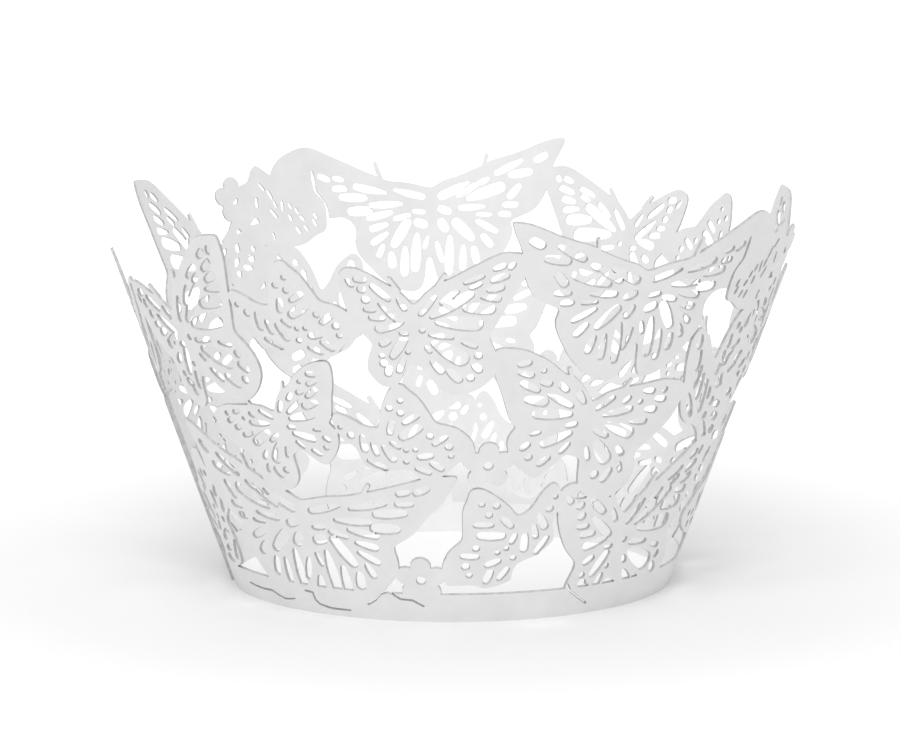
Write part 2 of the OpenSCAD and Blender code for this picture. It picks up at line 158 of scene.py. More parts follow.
# Butterfly with its wings half raised
RAISED = (
    [
        [(-0.3, 3.2), (-1.1, 4.2), (-2.2, 5.3)],
        [(-3.3, 5.8), (-5, 6.8), (-6.9, 7.4), (-8.3, 6.5), (-8.1, 4.2), (-7.6, 2.4), (-6.6, 0.4),
         (-5.8, -0.6)],
        [(-5.8, -0.6), (-5, -1.4), (-5, -2), (-5.6, -4.5), (-4.6, -6.1), (-3.4, -6.7), (-2.2, -6.2),
         (-1.5, -4.7), (-0.8, -3.6)],
        [(-0.8, -3.6), (0.7, -4.5), (1.5, -5.8), (3.3, -7.5), (5.9, -7.1), (7.9, -5.5), (8.3, -3.2),
         (7.5, -0.7)],
        [(7.5, -0.7), (8.4, 0.7), (10.2, 3.8), (11.6, 6.2), (12.3, 8.4)],
        [(12.3, 8.4), (11, 8.8), (9.1, 9), (5.9, 7.6), (3.3, 6.2)],
        [(2.6, 6.1), (1.1, 4.85), (-0.3, 3.2)],
    ],
    [
        (-7.3, 5.8, 0.15, -6.9, 5.3, 0.25), (-6.3, 6, 0.3, -5.6, 6, 0.3),
        (-5.8, 4.85, 0.4, -5.8, 4.85, 0.4), (-5.4, 3.65, 0.38, -5.4, 3.65, 0.38),
        (-5.4, 2.5, 0.22, -4.6, 2.5, 0.22), (-4.8, 1.6, 0.3, -3.7, 1.6, 0.25),
        (-4.6, 5.3, 0.25, -3, 3.9, 0.25), (-3.9, 3.3, 0.12, -1.8, 1.3, 0.35),
        (-1.9, 3.9, 0.15, -1.3, 2.8, 0.22), (-4, 0.3, 0.45, -2, 0.9, 0.2),
        (-1.7, -0.1, 0.2, -1.2, -0.1, 0.2), (-3.8, -1.5, 0.28, -3.2, -1.1, 0.28),
        (-2.7, -2.9, 0.3, -1.5, -0.9, 0.35), (-3.9, -2.9, 0.25, -3.9, -2.9, 0.25),
        (-3.7, -3.8, 0.38, -3.7, -3.8, 0.38), (-3.3, -5, 0.3, -3.2, -4.3, 0.3),
        (-2.1, -4.6, 0.25, -1.6, -3.2, 0.2), (-1.1, -2.3, 0.2, -1.1, -2.3, 0.2),
        (0.4, 2.2, 0.2, 2, 4.3, 0.12), (2.7, 3.5, 0.2, 4.3, 4.9, 0.2),
        (5.2, 5.8, 0.15, 7, 6.5, 0.2), (5.8, 5.2, 0.2, 6.7, 5.6, 0.2),
        (8.4, 7.2, 0.2, 9.2, 7.5, 0.3), (10, 7.2, 0.2, 10.3, 7.6, 0.2),
        (8.1, 5.9, 0.25, 9.5, 6.3, 0.3), (7.7, 4.8, 0.25, 8.9, 5, 0.35),
        (6.9, 4, 0.1, 8.5, 3.7, 0.35), (5.3, 2.8, 0.4, 7.6, 2.6, 0.6),
        (1.6, 1.9, 0.2, 5.6, 4.4, 0.4), (2.3, 1.3, 0.35, 6.1, 0.9, 0.75),
        (0.5, 0.3, 0.25, 0.5, 0.3, 0.25), (1.4, -0.2, 0.2, 3.6, -0.6, 0.15),
        (1.8, -1.3, 0.35, 4.4, -3.1, 0.85), (4.7, -1.2, 0.1, 6, -1.8, 0.2),
        (6.3, -2.9, 0.35, 6.3, -2.9, 0.35), (5.9, -4, 0.33, 6.3, -4.6, 0.33),
        (5.4, -5.5, 0.35, 5.4, -5.5, 0.35), (3.2, -4.6, 0.3, 4.1, -5.6, 0.4),
        (1.4, -3.4, 0.15, 2.3, -4.6, 0.3), (0.9, -1.7, 0.15, 1.2, -2.2, 0.2),
    ],
    [(-1.9, 4.9, 0.3, -2.8, 6.3, 0.25), (2.3, 5.6, 0.3, 3.1, 6.8, 0.25)],
)

# Butterfly turned on its side, one pair of wings larger
TURNED = (
    [
        [(0.1, 3), (-0.9, 4.6), (-2.6, 6.4)],
        [(-3.6, 6.5), (-5.8, 8.2), (-8.6, 9.4), (-11.1, 9.5), (-12, 9), (-11.9, 7.6), (-11.3, 5.8),
         (-10.3, 3.8), (-9, 0.9), (-8.1, 0.1)],
        [(-8.1, 0.1), (-8.8, -0.9), (-8.8, -2.3), (-7.8, -4.2), (-5.8, -5.9), (-4.7, -6),
         (-2.8, -4.1), (-1.9, -3.2)],
        [(-1.9, -3.2), (-1.1, -3.6), (-0.3, -3.8)],
        [(-0.3, -3.8), (0.1, -7.1), (1.2, -8.6), (3, -9.3), (4.7, -9.1), (6.6, -8), (7.3, -6.5),
         (7, -4.1)],
        [(7, -4.1), (9.6, -2.4), (11.6, -0.8), (12.6, 1), (12.9, 2.6), (12.2, 3.6)],
        [(12.2, 3.6), (9.4, 4.4), (6.6, 4.4), (5.4, 4.4)],
        [(3.9, 4.4), (1.9, 4), (0.9, 3.4), (0.1, 3)],
    ],
    [
        (-8.8, 7.7, 0.35, -8.1, 7.9, 0.35), (-8.7, 6.7, 0.25, -7.5, 6.4, 0.3),
        (-8.2, 5.4, 0.3, -6.5, 4.6, 0.25), (-7.4, 3.5, 0.35, -5.6, 3.2, 0.5),
        (-6, 1.8, 0.55, -2.3, 1.6, 0.25), (-6.2, 7, 0.25, -6.2, 7, 0.25),
        (-6, 5.6, 0.3, -5.3, 5.4, 0.3), (-4, 5.3, 0.25, -3.2, 4.6, 0.25),
        (-5.1, 4.1, 0.15, -2.3, 2.6, 0.2), (-1.7, 4.2, 0.3, -0.9, 3, 0.2),
        (-2.3, 0.3, 0.25, -1.5, 0.4, 0.25), (-6.3, -0.7, 0.15, -5.5, -0.5, 0.15),
        (-4.6, -1.8, 0.5, -2, -0.7, 0.3), (-2.6, -2.9, 0.2, -1.9, -2, 0.2),
        (-7, -2.4, 0.3, -6.6, -2, 0.3), (-6.2, -3.5, 0.35, -6.2, -3.5, 0.35),
        (-4.8, -4.3, 0.3, -4, -3.6, 0.25), (0.9, 2.1, 0.2, 2.6, 3.2, 0.25),
        (4.3, 2.6, 0.28, 4.7, 2.9, 0.28), (6.4, 2.2, 0.25, 6.4, 2.2, 0.25),
        (6.7, 3.5, 0.15, 7.9, 3.2, 0.3), (9.7, 3, 0.3, 9.7, 3, 0.3),
        (8.6, 2.2, 0.2, 9.8, 1.8, 0.3), (7.4, 1.1, 0.2, 8.6, 0.8, 0.35),
        (5.6, -0.1, 0.15, 7.5, -0.4, 0.3), (1.9, 1.2, 0.15, 5.1, 1.5, 0.35),
        (2.5, 0, 0.25, 5.6, -1.5, 0.6), (1, -0.5, 0.15, 2.6, -1.4, 0.25),
        (1.6, -2.2, 0.4, 3, -4.2, 0.7), (0.4, -2.7, 0.15, 0.8, -4, 0.2),
        (4.4, -3.1, 0.2, 5.1, -3.9, 0.3), (5, -5.1, 0.15, 5.3, -6, 0.25),
        (3.3, -6.8, 0.4, 3.8, -5.9, 0.4), (2, -6.1, 0.45, 2, -6.1, 0.45),
    ],
    [(-2.7, 5.9, 0.3, -3.3, 7.2, 0.25), (3.9, 4, 0.3, 4.6, 5.1, 0.25)],
)

# Butterfly seen from the side with its wings folded up
FOLDED = (
    [
        [(-8.2, -0.7), (-8.4, 0.3), (-8, 1)],
        [(-8, 1), (-6.3, 0.6), (-4.7, -0.2), (-3.1, -0.3)],
        [(-3.1, -0.3), (-2.9, 1.8), (-1.9, 4.5), (-0.95, 5.3), (-0.3, 5.2), (0.25, 4.5)],
        [(0.25, 4.5), (1.4, 3.55), (3.1, 0.6)],
        [(3.1, 0.6), (4.7, 0.25), (5.7, -0.3), (6.9, -1.6), (7.3, -3.4)],
        [(7.3, -3.4), (5, -4.6), (4.1, -5.7), (2.7, -6.2), (1.3, -6.5)],
        [(1.3, -6.5), (0, -5.2), (-2.2, -5.5), (-4.2, -5.4), (-5, -4.9), (-5.8, -3), (-7.2, -2.3),
         (-8.2, -0.7)],
    ],
    [
        (-0.7, 3.2, 0.25, -0.7, 3.2, 0.25), (-1.9, 2.2, 0.3, -1.9, 2.2, 0.3),
        (-0.7, 1.7, 0.3, -0.7, 1.7, 0.3), (-0.3, 0.5, 0.2, 1, 1.4, 0.25),
        (-0.5, -1.2, 0.4, 1.2, 0, 0.4), (-1.7, 0.4, 0.25, -1.9, -0.8, 0.25),
        (-7.4, -0.8, 0.2, -7.4, -0.8, 0.2), (-6.2, -1.6, 0.35, -6.2, -1.6, 0.35),
        (-4.95, -1.55, 0.2, -4.7, -3.1, 0.35), (-3.85, -2.3, 0.15, -3.4, -3.5, 0.25),
        (-2.6, -2.6, 0.2, -1.65, -4, 0.35), (-1.7, -2, 0.2, -1, -2.5, 0.2),
        (-4.25, -4.45, 0.2, -2.45, -5.2, 0.2), (-0.2, -2.8, 0.2, -0.2, -2.8, 0.2),
        (0.8, -2.7, 0.2, 0.8, -2.7, 0.2), (1.3, -3.6, 0.28, 2.4, -3.4, 0.28),
        (-0.2, -4.2, 0.25, -0.2, -4.2, 0.25), (2.6, -4.3, 0.28, 3.5, -5, 0.28),
        (1, -5, 0.22, 2.2, -5.5, 0.22), (2.4, -1, 0.3, 2.4, -1, 0.3),
        (2.9, -1.9, 0.25, 4, -1.1, 0.25), (4.4, -2.3, 0.35, 4.4, -2.3, 0.35),
        (4.6, -3.4, 0.25, 4.6, -3.4, 0.25),
    ],
    [],
)

# Butterfly perched with both pairs of wings up
PERCHED = (
    [
        [(-3.8, 1.8), (-4.6, 4.5), (-4.8, 7.2), (-3.8, 8.4)],
        [(-3.8, 8.4), (-1.6, 7), (-0.2, 5), (1, 3.9)],
        [(1, 3.9), (1.8, 6.6), (3.2, 9), (5, 10.2)],
        [(5, 10.2), (7.4, 9.6), (8.6, 7), (8.4, 3.6), (7.8, 1)],
        [(7.8, 1), (9.8, -0.6), (10, -3), (8.2, -5.4), (5.6, -6.9), (3.1, -6.9)],
        [(3.1, -6.9), (2.2, -5.4), (0.9, -4.2), (-1.4, -3.4), (-2.8, -2), (-3.5, -0.4)],
    ],
    [
        (-3.4, 7, 0.35, -3.1, 6, 0.35), (-2.6, 5.2, 0.25, -2.2, 3.2, 0.25),
        (-1.5, 3.3, 0.2, -1.6, 1, 0.2), (-0.6, 2.2, 0.22, -0.4, -0.5, 0.22),
        (0.6, 1.2, 0.3, 1, -2.2, 0.3), (-2.3, 0, 0.22, -0.6, -2.6, 0.22),
        (3, 6.3, 0.25, 3, 5.2, 0.25), (4.3, 4.9, 0.3, 5.3, 5.3, 0.3),
        (2.5, 4.4, 0.3, 2.2, 2.2, 0.3), (3.3, 3.3, 0.5, 5.8, 4, 0.5),
        (3.6, 0.8, 0.7, 6.3, 1.8, 0.7), (2.8, -4.2, 0.25, 4.4, -6.2, 0.25),
        (5.4, -5.4, 0.4, 6, -5.6, 0.4), (6.5, 3, 0.5, 7.6, 5, 0.5), (7, -1, 0.5, 8.6, -2.4, 0.5),
        (5.8, 7.4, 0.4, 6.8, 8.4, 0.4), (4.4, -2, 0.3, 5.4, -2.4, 0.3),
        (4.8, -3.6, 0.4, 5.8, -4, 0.4), (1.8, 0.2, 0.2, 2, -0.8, 0.2),
        (3.9, 7.5, 0.35, 3.9, 7.5, 0.35), (4.9, 6.8, 0.3, 4.9, 6.8, 0.3),
        (3.2, -1.5, 0.45, 3.2, -1.5, 0.45), (2.6, -3.2, 0.4, 2.6, -3.2, 0.4),
    ],
    [],
)

# Butterfly that leans to one side, pierced with dots
LEANING = (
    [
        [(-4.8, 4.6), (-4.85, 2.7), (-5.05, 1.7), (-5.75, 1), (-6.05, 0.2), (-6.05, -0.8),
         (-5.9, -2), (-5.6, -3.1)],
        [(-5.6, -3.1), (-4.1, -3.5), (-3.2, -4.1), (-1.5, -4.6), (0.5, -4.4)],
        [(0.5, -4.4), (3.2, -3.6), (6, -2.4), (7.6, 0), (7.2, 2.2), (4.8, 3.4)],
        [(4.8, 3.4), (3.7, 3.9), (3.2, 5), (2.5, 5.8)],
        [(2.5, 5.8), (1.7, 5.2), (0.5, 4.2)],
        [(0.5, 4.2), (-1.2, 5.6), (-3, 6.2), (-4.8, 4.6)],
    ],
    [
        (-3.3, 5.3, 0.1, -3.4, 4.9, 0.1), (-2.1, 4.9, 0.1, -2.2, 4.4, 0.1),
        (-2.8, 4.4, 0.1, -2.9, 3.9, 0.1), (-3.1, 3.3, 0.1, -3.2, 2.8, 0.1),
        (-1.7, 3.5, 0.1, -1.3, 2.6, 0.13), (-3, 2, 0.33, -3, 2, 0.33),
        (-3.7, 0.9, 0.1, -3.9, 0.4, 0.1), (-4.3, 0.4, 0.1, -4.5, -0.1, 0.1),
        (-2.1, 0, 0.1, -2.3, -0.5, 0.1), (-1.3, 0.7, 0.1, -1.5, 0.2, 0.1),
        (-0.4, 1, 0.1, -0.3, 0, 0.1), (-4.4, -0.7, 0.1, -4.6, -1.3, 0.1),
        (-2.6, -1, 0.12, -2.9, -1.4, 0.12), (-1.1, -0.7, 0.1, -1.3, -1.3, 0.1),
        (-4.2, -1.6, 0.1, -4.4, -2.2, 0.1), (-2.9, -2.2, 0.1, -3.2, -2.7, 0.1),
        (-1.8, -2.3, 0.12, -2.1, -2.9, 0.12), (2.3, 3.3, 0.1, 1.8, 2.6, 0.1),
        (1.3, 2.5, 0.1, 0.9, 1.5, 0.1), (3.1, 1.6, 0.1, 3.2, 0.6, 0.12),
        (0.7, 1.1, 0.1, 0.5, 0.5, 0.1), (1.3, 0.1, 0.1, 0.7, -0.8, 0.12),
        (3.1, -0.8, 0.42, 4.9, -1.1, 0.42), (3, -1.9, 0.1, 2.8, -2.9, 0.1),
        (1.6, -2.8, 0.1, 1.5, -3.5, 0.1), (5.3, 2.1, 0.12, 6.5, 1, 0.13),
        (-0.5, 3.2, 0.04, 0.4, 4.1, 0.04),
    ],
    [],
)

# One butterfly in each row: artwork, turn round the wrapper from the front, distance up the slope,
# rotation on the sheet, size, and -1 where it is mirrored
REPEAT_ROWS = [
    (FOLDED, -25.8, 38.3, 0, 1, 1), (RAISED, -5.4, 35.6, 0, 1, 1), (FULL, 31, 38.9, 0, 1, 1),
    (LEANING, 61, 40, 0, 1, 1), (TURNED, -33.7, 22.8, 11, 0.77, -1),
    (FOLDED, -8, 24.2, -1.5, 1, 1), (TURNED, 26.2, 23.7, 0, 1, 1), (PERCHED, 53.6, 25.9, 0, 1, 1),
    (PERCHED, 76.8, 30.2, 0, 1, -1), (BROAD, -34.9, 10.9, 0, 1.08, 1),
    (FOLDED, 8.7, 11.5, 33, 1.05, -1), (RAISED, 41.6, 8.4, 3, 1.15, 1),
    (FOLDED, 78, 10, 85, 1.15, 1),
]
# Butterflies that stand outside the repeat
SINGLE_ROWS = [
    (RAISED, -52.2, 32.3, 18, 1.12, 1), (RAISED, 94, 32.3, 18, 1.12, 1),
    (RAISED, 231.7, 32.3, 18, 1.12, 1), (TURNED, 248, 19, 10, 1, 1), (FOLDED, 264, 27, 0, 1, 1),
    (RAISED, 257, 8.5, 5, 1.1, -1),
]
# One blossom in each row: turn from the front and distance up the slope
BLOSSOM_ROWS = [(7.3, 19.5), (-6.9, 5.2), (70.3, 41.7)]
# Slits in the band, where the edges of the lowest wings run on into it.
# Each is a line of points, given as turn from the front and distance up the slope.
SLITS = [
    [(-60.3, 1.9), (-54.5, 1.7), (-50.2, 1.8), (-48.1, 1.4), (-45.8, 1.1), (-42.3, 1.4)],
    [(-37.8, 2.7), (-35.7, 2.6), (-35.3, 1.7), (-34.1, 1.2), (-31.0, 0.9), (-25.6, 0.9)],
    [(28.8, 4.0), (30.0, 3.1), (32.8, 2.1), (35.4, 1.3)],
    [(-20.4, 1.9), (-18.4, 2.5), (-17.0, 3.3), (-15.4, 3.6), (-14.0, 3.4), (-12.1, 2.8),
     (-9.2, 2.7), (-6.6, 2.0)],
]
SLIT_W = 0.14
# A blossom has round petals about its eye, with soft notches between them
PETALS = 5
PETAL_R = 1.15
PETAL_REACH = 1.75
PETAL_POINTS = 9
NOTCH = 0.35
EYE_R = 0.5
# Settings of the triangulation: it keeps only what lies inside a ring
INSIDE_ONLY = 1
CUT_EPSILON = 1e-5


def inside_strip(turn):
    """Whether a repeated butterfly with its middle at this turn is on the strip."""
    return SEAM - 360 + START_MARGIN <= turn < SEAM - END_MARGIN


def smooth_stroke(stroke):
    """The smooth curve through a stroke's points."""
    points = []
    last = len(stroke) - 1
    for i in range(last):
        before, here, there, after = (
            np.array(stroke[k]) for k in (max(i - 1, 0), i, i + 1, min(i + 2, last)))
        pieces = max(2, round(math.dist(here, there) / STROKE_STEP))
        for t in np.linspace(0, 1, pieces, endpoint=False):
            points.append(0.5 * (
                2 * here + (there - before) * t
                + (2 * before - 5 * here + 4 * there - after) * t * t
                + (3 * here - before - 3 * there + after) * t ** 3))
    return points + [np.array(stroke[last])]


def outline_of(strokes):
    """All strokes of an outline in a ring, with its corners rounded as the cutter leaves them."""
    ring = np.array([point for stroke in strokes for point in smooth_stroke(stroke)])
    ring = ring[np.hypot(*(ring - np.roll(ring, 1, 0)).T) > SAME_POINT]
    closed = np.vstack([ring, ring[:1]])
    far = np.concatenate([[0], np.cumsum(np.hypot(*np.diff(closed, axis=0).T))])
    at = np.linspace(0, far[-1], round(far[-1] / FINE_STEP), endpoint=False)
    ring = np.column_stack([np.interp(at, far, closed[:, k]) for k in (0, 1)])
    reach = np.arange(-CORNER_REACH, CORNER_REACH + 1)
    weight = np.exp(-0.5 * (reach * FINE_STEP / CORNER_R) ** 2)
    weight /= weight.sum()
    ring = sum(w * np.roll(ring, k, 0) for w, k in zip(weight, reach))
    return ring[::round(CURVE_STEP / FINE_STEP)].tolist()


def slot_ring(x0, y0, r0, x1, y1, r1, belly=0):
    """The ring round two circles, its sides swollen halfway by a share of its length."""
    gap = math.hypot(x1 - x0, y1 - y0)
    if gap <= abs(r0 - r1) + ONE_HOLE:
        x, y, r = (x0, y0, r0) if r0 >= r1 else (x1, y1, r1)
        return [(x + r * math.cos(a), y + r * math.sin(a))
                for a in np.linspace(0, math.tau, max(8, round(r * HOLE_POINTS)), endpoint=False)]
    heading = math.atan2(y1 - y0, x1 - x0)
    touch = math.acos((r0 - r1) / gap)
    one, other = (x0, y0, r0), (x1, y1, r1)
    ring = []
    for (x, y, r), (next_x, next_y, next_r), start, stop in (
            (one, other, touch, math.tau - touch), (other, one, -touch, touch)):
        pieces = max(4, round(r * abs(stop - start) / ROUND_END_STEP))
        ring += [(x + r * math.cos(heading + a), y + r * math.sin(heading + a))
                 for a in np.linspace(start, stop, pieces)]
        # The side that leads on to the other end
        edge = heading + stop
        near = ring[-1]
        far = (next_x + next_r * math.cos(edge), next_y + next_r * math.sin(edge))
        for t in np.linspace(0, 1, max(2, round(gap / SIDE_STEP)) + 1)[1:-1]:
            swell = belly * gap * math.sin(math.pi * t)
            ring.append((near[0] + (far[0] - near[0]) * t + swell * math.cos(edge),
                         near[1] + (far[1] - near[1]) * t + swell * math.sin(edge)))
    return ring


def cell_ring(x0, y0, r0, x1, y1, r1):
    """A wing cell's ring, swollen to the shape of a leaf."""
    return slot_ring(x0, y0, r0 + CELL_SWELL, x1, y1, r1 + CELL_SWELL, CELL_BELLY)


def blossom_ring():
    """The ring round all petals of a blossom."""
    reach = math.acos(min(1, PETAL_REACH * math.sin(math.pi / PETALS) / PETAL_R))
    ring = []
    for k in range(PETALS):
        middle = math.pi / 2 + k * math.tau / PETALS
        for a in np.linspace(-math.pi / 2 - reach + NOTCH, math.pi / 2 + reach - NOTCH, PETAL_POINTS):
            ring.append((PETAL_REACH * math.cos(middle) + PETAL_R * math.cos(middle + a),
                         PETAL_REACH * math.sin(middle) + PETAL_R * math.sin(middle + a)))
    return ring


def sheet_angle(turn):
    """The angle on the flat sheet that a turn round the wrapper unrolls to."""
    return math.radians(turn - (SEAM - 180)) * SIN


def on_sheet(turn, up):
    """A place on the wall, as a point of the flat sheet."""
    a = sheet_angle(turn)
    return (APEX + up) * math.sin(a), (APEX + up) * math.cos(a)


def turned_left(ring):
    """The ring, or its reverse, whichever runs round to the left."""
    area = sum(ring[k - 1][0] * ring[k][1] - ring[k][0] * ring[k - 1][1] for k in range(len(ring)))
    return ring if area > 0 else ring[::-1]


def laid(ring, turn, up, rotation=0, size=1, mirror=1):
    """An artwork's ring, laid on the flat sheet at its row's place."""
    a = sheet_angle(turn)
    tilt = math.radians(rotation)
    placed = []
    for x, y in ring:
        u = size * (mirror * x * math.cos(tilt) - y * math.sin(tilt))
        v = APEX + up + size * (mirror * x * math.sin(tilt) + y * math.cos(tilt))
        placed.append((u * math.cos(a) + v * math.sin(a), v * math.cos(a) - u * math.sin(a)))
    return turned_left(placed)


def plain_ring(turn0, turn1, up0, up1):
    """A plain piece of the strip between two turns and two heights, with a point at each degree."""
    n = max(2, math.ceil(abs(turn1 - turn0)))
    ring = [on_sheet(t, up0) for t in np.linspace(turn0, turn1, n + 1)]
    ring += [on_sheet(t, up1) for t in np.linspace(turn1, turn0, n + 1)]
    return turned_left(ring)


def cut_strip():
    """Cuts the flat strip: returns its corner points and the triangles of card that are left."""
    rows = [(art, turn + copy * REPEAT, *place) for copy in COPIES for art, turn, *place in REPEAT_ROWS
            if inside_strip(turn + copy * REPEAT)] + SINGLE_ROWS
    blossoms = [(turn + copy * REPEAT, up) for copy in COPIES for turn, up in BLOSSOM_ROWS
                if inside_strip(turn + copy * REPEAT)]
    lap = math.degrees(LAP_W / 2 / FOOT_R)
    # All rings, and which piece of card each one keeps or cuts: a cut only opens its own piece
    rings, keeps, cuts = [], {}, {}

    def keep(ring, piece):
        keeps[len(rings)] = piece
        rings.append(ring)

    def cut(ring, piece):
        cuts[len(rings)] = piece
        rings.append(ring)

    keep(plain_ring(SEAM - 360 - lap, SEAM + lap, 0, BAND), "band")
    keep(plain_ring(SEAM - 360 - lap, SEAM - 360 + lap, 0, LAP_H), "first end")
    keep(plain_ring(SEAM - lap, SEAM + lap, 0, LAP_H), "last end")
    for number, ((outline, cells, bars), *place) in enumerate(rows):
        keep(laid(outline_of(outline), *place), number)
        for cell in cells:
            cut(laid(cell_ring(*cell), *place), number)
        for bar in bars:
            keep(laid(slot_ring(*bar), *place), (number, "bars"))
    slits = set()
    for slit in SLITS:
        for (turn0, up0), (turn1, up1) in zip(slit, slit[1:]):
            (x0, y0), (x1, y1) = on_sheet(turn0, up0), on_sheet(turn1, up1)
            slits.add(len(rings))
            rings.append(slot_ring(x0, y0, SLIT_W / 2, x1, y1, SLIT_W / 2))
    for number, (turn, up) in enumerate(blossoms):
        keep(laid(blossom_ring(), turn, up), ("blossom", number))
        cut(laid(slot_ring(0, 0, EYE_R, 0, 0, EYE_R), turn, up), ("blossom", number))

    points, faces = [], []
    for ring in rings:
        faces.append(list(range(len(points), len(points) + len(ring))))
        points += ring
    # Points all over the sheet let it bend smoothly
    for up in np.arange(SHEET_STEP / 2, WALL_H * SPARE_HEIGHT / COS, SHEET_STEP):
        step = math.degrees(SHEET_STEP / (FOOT_R + up * SIN))
        for turn in np.arange(SEAM - 360 - SHEET_SPARE, SEAM + SHEET_SPARE, step):
            points.append(on_sheet(turn, up))
    verts, _, tris, _, _, origins = delaunay_2d_cdt(
        [Vector(p) for p in points], [], faces, INSIDE_ONLY, CUT_EPSILON, True)

    flat = np.array([tuple(v) for v in verts])
    kept = []
    for tri, sources in zip(tris, origins):
        opened = {cuts[s] for s in sources if s in cuts}
        held = {keeps[s] for s in sources if s in keeps} - opened
        above_foot = math.hypot(*flat[list(tri)].mean(0)) > APEX
        if held and above_foot and not slits.intersection(sources):
            kept.append(tuple(tri))
    return flat, kept


def into_the_card(flat, rim):
    """At each point of a cut edge, the direction from the cut into the card."""
    inward = np.zeros_like(flat)
    p, q = np.array(rim).T
    along = flat[q] - flat[p]
    across = np.column_stack([-along[:, 1], along[:, 0]])
    np.add.at(inward, p, across)
    np.add.at(inward, q, across)
    length = np.hypot(*inward.T)
    return inward / np.where(length > 0, length, 1)[:, None]


def facing(flat, along=None):
    """What a direction at points of the sheet becomes once the card is bent.
    Without one, it is the outward normal."""
    place = np.arctan2(flat[:, 0], flat[:, 1])
    a = place / SIN + math.radians(SEAM - 180)
    if along is None:
        return np.column_stack([np.sin(a) * COS, -np.cos(a) * COS, np.full(len(a), -SIN)])
    round_it = along[:, 0] * np.cos(place) - along[:, 1] * np.sin(place)
    up_it = along[:, 0] * np.sin(place) + along[:, 1] * np.cos(place)
    return np.column_stack([
        round_it * np.cos(a) + up_it * SIN * np.sin(a),
        round_it * np.sin(a) - up_it * SIN * np.cos(a),
        up_it * COS])


def bend(flat, inset):
    """Rolls points of the flat sheet into the cone, a distance in from its outer face, in metres.
    The first end of the strip is tucked behind the last one."""
    turn = np.degrees(np.arctan2(flat[:, 0], flat[:, 1])) / SIN + SEAM - 180
    up = np.hypot(flat[:, 0], flat[:, 1]) - APEX
    tucked = np.clip((SEAM - 360 + TUCK_END - turn) / TUCK_FADE, 0, 1)
    tucked = tucked * tucked * (3 - 2 * tucked)
    inset = inset + CARD * TUCK_ROOM * tucked
    r = FOOT_R + up * SIN - inset * COS
    # Both edges of the foot lie on the table
    z = np.where(up < FOOT_EDGE, 0, up * COS + inset * SIN)
    a = np.radians(turn)
    return np.column_stack([r * np.sin(a), -r * np.cos(a), z]) * MM


def build_wrapper():
    """The wrapper's mesh: outer and inner face of the card, and the burnt walls of every cut."""
    flat, kept = cut_strip()
    used = sorted({i for tri in kept for i in tri})
    new = {old: k for k, old in enumerate(used)}
    flat = flat[used]
    tris = [tuple(new[i] for i in tri) for tri in kept]
    n = len(flat)
    # A dict, because it keeps the order
    edges = dict.fromkeys(edge for a, b, c in tris for edge in ((a, b), (b, c), (c, a)))
    rim = [(p, q) for p, q in edges if (q, p) not in edges]
    # The foot's edge stays square, so that it stands on the table
    inward = into_the_card(flat, rim)
    above_foot = np.hypot(*flat.T)[:, None] > APEX + FOOT_SQUARE
    co = np.vstack([bend(flat + KERF_TAPER * above_foot * inward, 0), bend(flat, CARD)])
    inner_face = [(a + n, c + n, b + n) for a, b, c in tris]
    walls = [(q, p, p + n, q + n) for p, q in rim]
    faces = tris + inner_face + walls
    mesh = bpy.data.meshes.new("butterfly_lace")
    mesh.from_pydata(co.tolist(), [], faces)
    mesh.update()
    slots = np.zeros(len(faces), np.int32)
    slots[len(tris + inner_face):] = 1
    mesh.polygons.foreach_set("use_smooth", np.ones(len(faces), bool))
    mesh.polygons.foreach_set("material_index", slots)
    # Each corner faces as the bent card does there, so that no flat facet shows
    outward, off_the_cut = facing(flat), facing(flat, -inward)
    corners = np.concatenate([np.array(f) for f in faces])
    inner = corners >= n
    on_wall = np.arange(len(corners)) >= 3 * len(tris + inner_face)
    normals = np.where(inner[:, None], -outward[corners % n], outward[corners % n])
    normals[on_wall] = off_the_cut[corners[on_wall] % n]
    mesh.normals_split_custom_set(normals.tolist())
    print("wrapper:", len(tris), "triangles a side,", len(rim), "cut edges")
    return mesh


def shade(hex_colour):
    """An sRGB hex colour as the linear one that a shader takes."""
    parts = [int(hex_colour[i:i + 2], 16) / 255 for i in (1, 3, 5)]
    return [c / 12.92 if c <= 0.04045 else ((c + 0.055) / 1.055) ** 2.4 for c in parts] + [1]


def add_node(material, kind, links=None, **settings):
    """Adds a node with its settings, socket values and links from other nodes."""
    tree = material.node_tree
    node = tree.nodes.new(kind)
    for name, value in settings.items():
        if name.startswith("in_"):
            node.inputs[name[3:].replace("_", " ")].default_value = value
        else:
            setattr(node, name, value)
    for name, source in (links or {}).items():
        tree.links.new(source, node.inputs[name])
    return node


def new_material(name):
    material = bpy.data.materials.new(name)
    material.use_nodes = True
    material.node_tree.nodes.clear()
    return material


